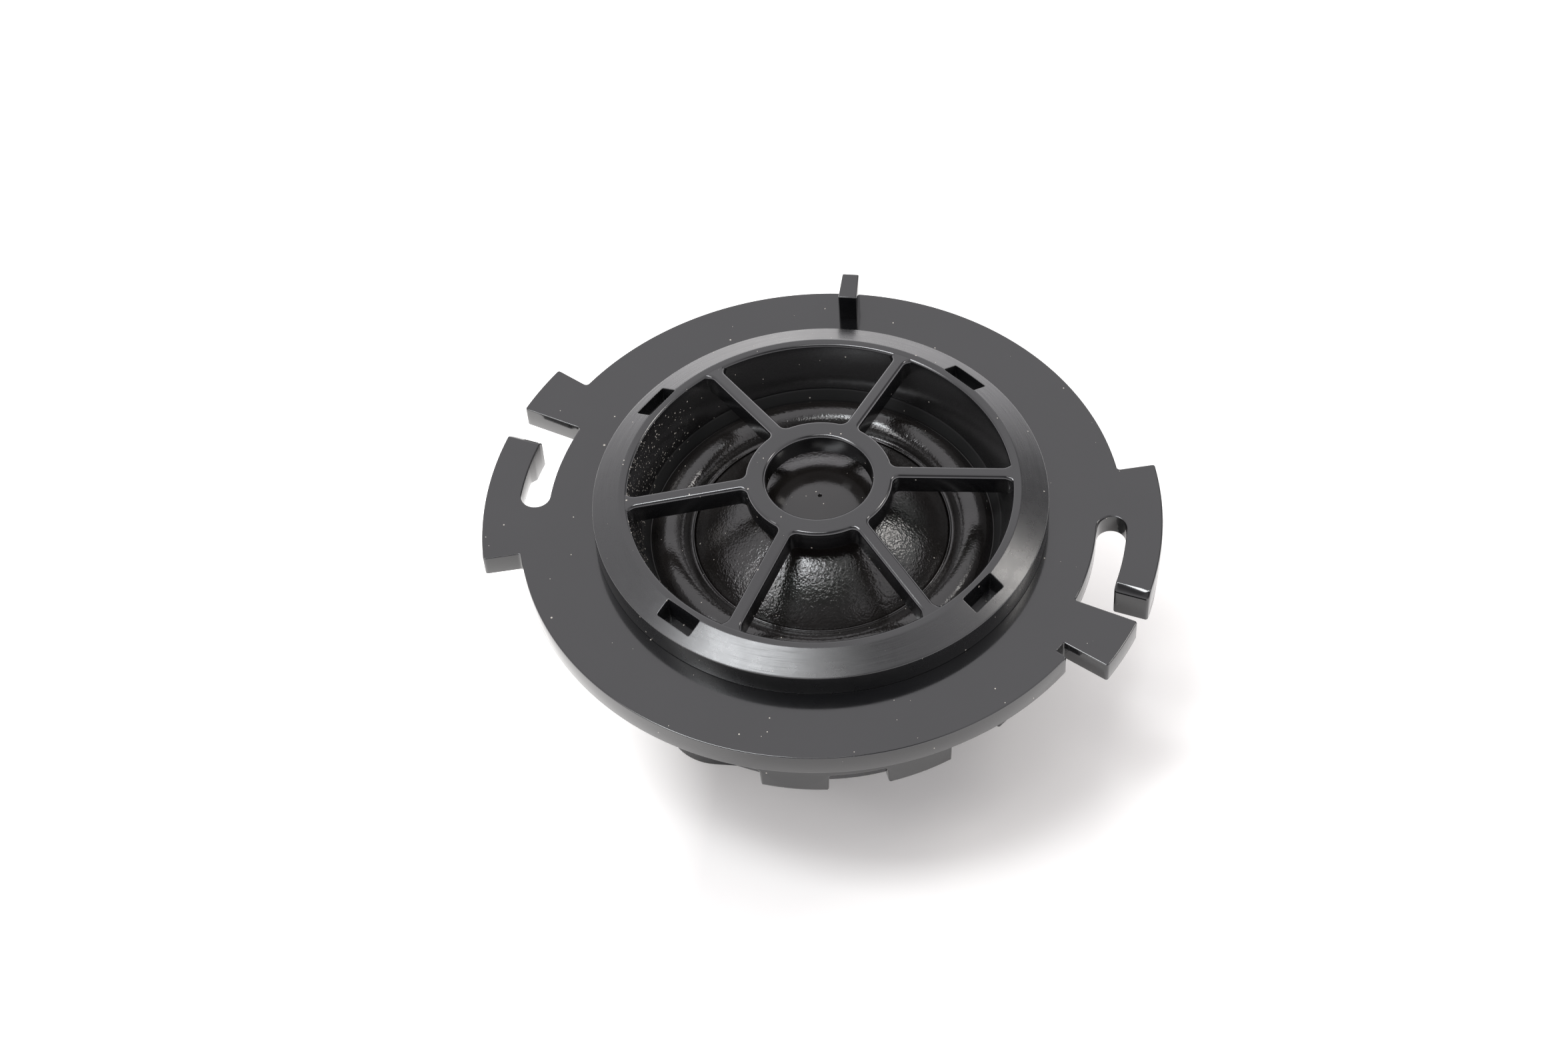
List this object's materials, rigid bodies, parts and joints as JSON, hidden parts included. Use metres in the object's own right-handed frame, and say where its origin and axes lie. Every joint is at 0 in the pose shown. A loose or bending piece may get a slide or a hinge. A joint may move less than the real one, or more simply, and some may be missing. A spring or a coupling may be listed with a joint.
{
  "type": "car tweeter",
  "caption": "Round twist-lock car tweeter: slotted flange with latch arms and key rib, raised spoked grille over a glossy soft dome, rear cover with a two-way plug socket.",
  "frame": {"origin": "centre of the bounding box on the rear rest face, on the acoustic axis", "axes": "+Z along the acoustic axis, out through the grille; +Y towards the key rib; +X towards one latch arm"},
  "size_m": [0.0562, 0.05, 0.0245],
  "materials": {
    "flange_plastic": "moulded black, satin gloss",
    "grille_plastic": "moulded black, satin gloss",
    "chassis_plastic": "moulded black, matt",
    "cover_plastic": "moulded black, fine texture",
    "diaphragm_film": "coated film, glossy with a fine orange peel",
    "former_film": "amber polyimide film",
    "copper_wire": "enamelled copper wire",
    "felt": "grey felt",
    "plated_steel": "zinc plated",
    "magnet_plating": "nickel plated",
    "tab_brass": "bare strip",
    "wire_sleeve_red": "wire insulation",
    "wire_sleeve_black": "wire insulation",
    "foam": "open-cell foam",
    "circuit_board": "solder-masked laminate",
    "tinned_brass": "tin plated",
    "capacitor_sleeve": "heat-shrunk sleeve",
    "tinned_wire": "tin"
  },
  "bodies": {
    "root": {"mounting_flange": "flange_plastic", "grille": "grille_plastic", "diaphragm_clamp_ring": "chassis_plastic", "surround": "diaphragm_film", "lead_out_positive": "copper_wire", "lead_out_negative": "copper_wire", "damping_pad": "felt", "top_plate": "plated_steel", "magnet": "magnet_plating", "yoke_cup": "plated_steel", "driver_chassis": "chassis_plastic", "solder_tab_positive": "tab_brass", "solder_tab_negative": "tab_brass", "hookup_wire_positive": "wire_sleeve_red", "hookup_wire_negative": "wire_sleeve_black", "rear_foam_pad": "foam", "rear_cover": "cover_plastic", "terminal_board": "circuit_board", "contact_blade_positive": "tinned_brass", "contact_blade_negative": "tinned_brass", "capacitor": "capacitor_sleeve", "capacitor_leads": "tinned_wire", "solder_joints": "tinned_wire"},
    "diaphragm": {"dome": "diaphragm_film", "coil_former": "former_film", "voice_coil": "copper_wire"},
    "latch_right": {"latch_arm_right": "flange_plastic"},
    "latch_left": {"latch_arm_left": "flange_plastic"}
  },
  "joints": [
    {"name": "diaphragm_travel", "type": "slide", "parent": "root", "child": "diaphragm", "axis": [0, 0, 1], "range_m": [-0.0004, 0.0004], "stiffness_N_per_m": 12000, "deforming": ["surround"]},
    {"name": "latch_flex_right", "type": "hinge", "parent": "root", "child": "latch_right", "pos_m": [0.02667, 0.0013, 0.02], "axis": [-0.9988, -0.0488, 0], "range_deg": [0, 5], "stiffness_Nm_per_rad": 1.9},
    {"name": "latch_flex_left", "type": "hinge", "parent": "root", "child": "latch_left", "pos_m": [-0.02667, -0.0013, 0.02], "axis": [0.9988, 0.0488, 0], "range_deg": [0, 5], "stiffness_Nm_per_rad": 1.9}
  ]
}
